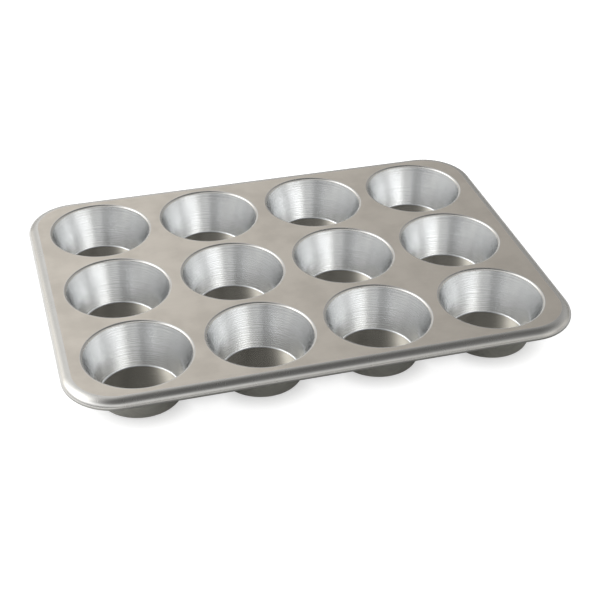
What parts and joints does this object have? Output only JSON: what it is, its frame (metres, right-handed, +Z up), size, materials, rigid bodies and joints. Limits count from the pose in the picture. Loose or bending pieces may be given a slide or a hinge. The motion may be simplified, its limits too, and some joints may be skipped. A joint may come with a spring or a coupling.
{
  "type": "muffin pan",
  "caption": "Shallow rectangular baking pan of natural aluminium with round tapered muffin cups drawn in rows into a flat plate, and a rim rolled round a stiffening wire.",
  "frame": {"origin": "under the middle of the pan, at the level of the cups' undersides, which it stands on", "axes": "+X along the longer side, +Y along the shorter side, +Z up out of the cups' mouths"},
  "size_m": [0.345, 0.2488, 0.0318],
  "materials": {
    "aluminium_sheet": "natural uncoated aluminium: satin plate with a faint rolling grain, brighter cup walls with fine rings from drawing",
    "galvanised_wire": "galvanised steel wire, dull grey"
  },
  "bodies": {
    "root": {"pan_body": "aluminium_sheet", "rim_wire": "galvanised_wire"}
  },
  "joints": []
}
